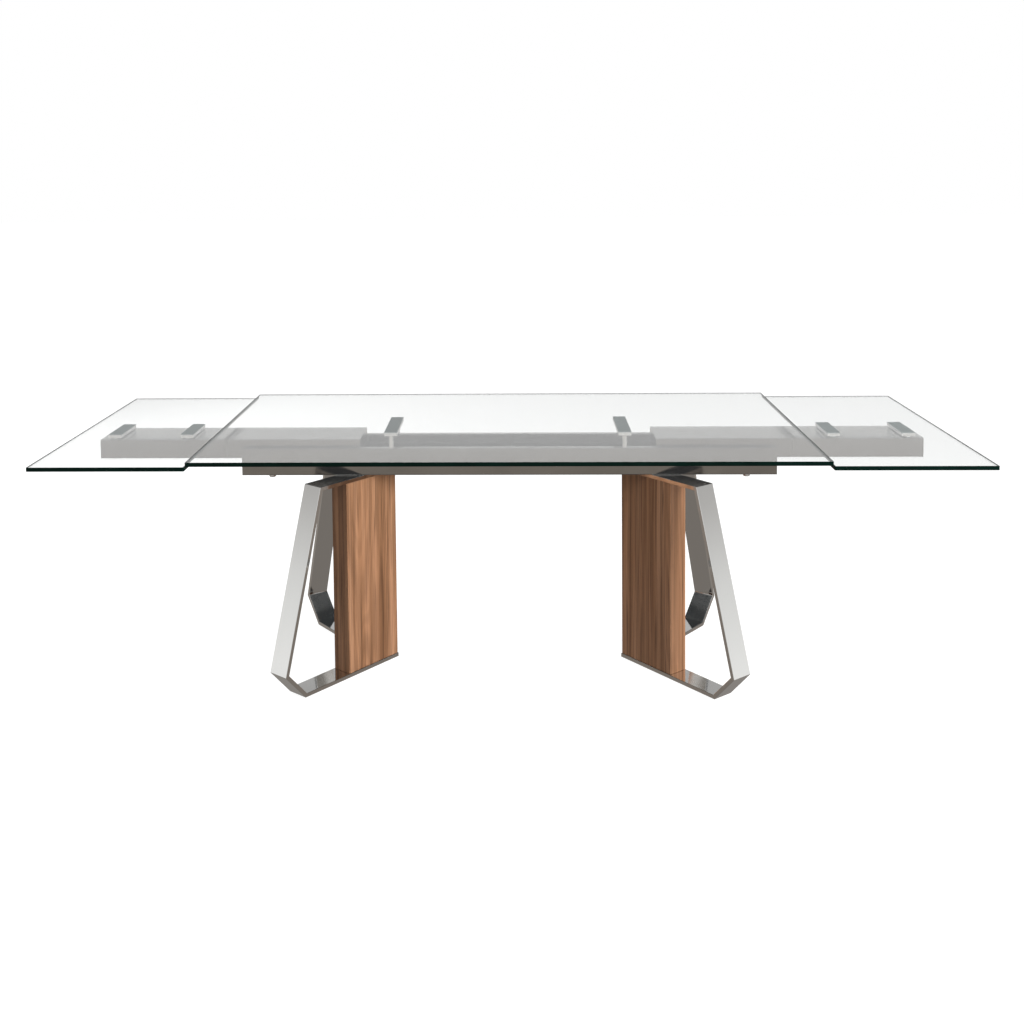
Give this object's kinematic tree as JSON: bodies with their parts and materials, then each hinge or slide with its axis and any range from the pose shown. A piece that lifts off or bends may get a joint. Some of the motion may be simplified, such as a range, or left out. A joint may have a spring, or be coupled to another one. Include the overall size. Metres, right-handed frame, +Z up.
{
  "type": "extendable dining table",
  "caption": "Glass dining table on splayed walnut and steel pedestals; glass leaves slide out from under each end of the top and rise level with it",
  "frame": {"origin": "on the floor under the middle of the table", "axes": "+X along the table's length, -Y its front, +Z up"},
  "size_m": [2.7, 1, 0.76],
  "materials": {
    "clear_glass": "clear, polished, dark green edges",
    "walnut": "satin lacquer",
    "polished_steel": "mirror polished",
    "bracket_steel": "bright satin",
    "satin_steel": "finely brushed",
    "structural_steel": "plain",
    "fastener_steel": "zinc plated",
    "bonding_pad": "matt grey-green",
    "nylon": "natural nylon"
  },
  "bodies": {
    "base": {"base_bolts": "fastener_steel", "centre_bolts": "fastener_steel", "centre_glass": "clear_glass", "centre_nuts": "fastener_steel", "centre_pads": "bonding_pad", "centre_posts": "bracket_steel", "floor_glides": "nylon", "front_left_frame": "polished_steel", "front_left_panel": "walnut", "front_left_rail": "structural_steel", "front_right_frame": "polished_steel", "front_right_panel": "walnut", "front_right_rail": "structural_steel", "left_centre_plate": "bracket_steel", "left_tray_end": "satin_steel", "panel_screws": "fastener_steel", "plunger_sleeves": "structural_steel", "rear_left_frame": "polished_steel", "rear_left_panel": "walnut", "rear_left_rail": "structural_steel", "rear_right_frame": "polished_steel", "rear_right_panel": "walnut", "rear_right_rail": "structural_steel", "right_centre_plate": "bracket_steel", "right_tray_end": "satin_steel", "tray_channel": "satin_steel"},
    "left_carriage": {"left_beam": "structural_steel", "left_inner_cover": "satin_steel", "left_outer_cover": "satin_steel", "left_inner_cap": "satin_steel", "left_outer_cap": "satin_steel", "left_post_bushes": "nylon", "left_runner_bars": "structural_steel", "left_runner_glides": "nylon"},
    "left_leaf": {"left_leaf_glass": "clear_glass", "left_inner_plate": "bracket_steel", "left_outer_plate": "bracket_steel", "left_leaf_pads": "bonding_pad", "left_leaf_posts": "bracket_steel", "left_leaf_bolts": "fastener_steel", "left_lift_bars": "structural_steel"},
    "left_plunger": {"left_plunger": "satin_steel"},
    "right_carriage": {"right_beam": "structural_steel", "right_inner_cover": "satin_steel", "right_outer_cover": "satin_steel", "right_inner_cap": "satin_steel", "right_outer_cap": "satin_steel", "right_post_bushes": "nylon", "right_runner_bars": "structural_steel", "right_runner_glides": "nylon"},
    "right_leaf": {"right_leaf_glass": "clear_glass", "right_inner_plate": "bracket_steel", "right_outer_plate": "bracket_steel", "right_leaf_pads": "bonding_pad", "right_leaf_posts": "bracket_steel", "right_leaf_bolts": "fastener_steel", "right_lift_bars": "structural_steel"},
    "right_plunger": {"right_plunger": "satin_steel"}
  },
  "joints": [
    {"name": "left_leaf_slide", "type": "slide", "parent": "base", "child": "left_carriage", "axis": [-1, 0, 0], "range_m": [-0.45, 0]},
    {"name": "left_leaf_lift", "type": "slide", "parent": "left_carriage", "child": "left_leaf", "axis": [0, 0, 1], "range_m": [0, 0.013]},
    {"name": "left_plunger_pull", "type": "slide", "parent": "base", "child": "left_plunger", "axis": [0, 0, -1], "range_m": [0, 0.008], "stiffness_N_per_m": 500, "springref_m": -0.004},
    {"name": "right_leaf_slide", "type": "slide", "parent": "base", "child": "right_carriage", "axis": [1, 0, 0], "range_m": [-0.45, 0]},
    {"name": "right_leaf_lift", "type": "slide", "parent": "right_carriage", "child": "right_leaf", "axis": [0, 0, 1], "range_m": [0, 0.013]},
    {"name": "right_plunger_pull", "type": "slide", "parent": "base", "child": "right_plunger", "axis": [0, 0, -1], "range_m": [0, 0.008], "stiffness_N_per_m": 500, "springref_m": -0.004}
  ]
}
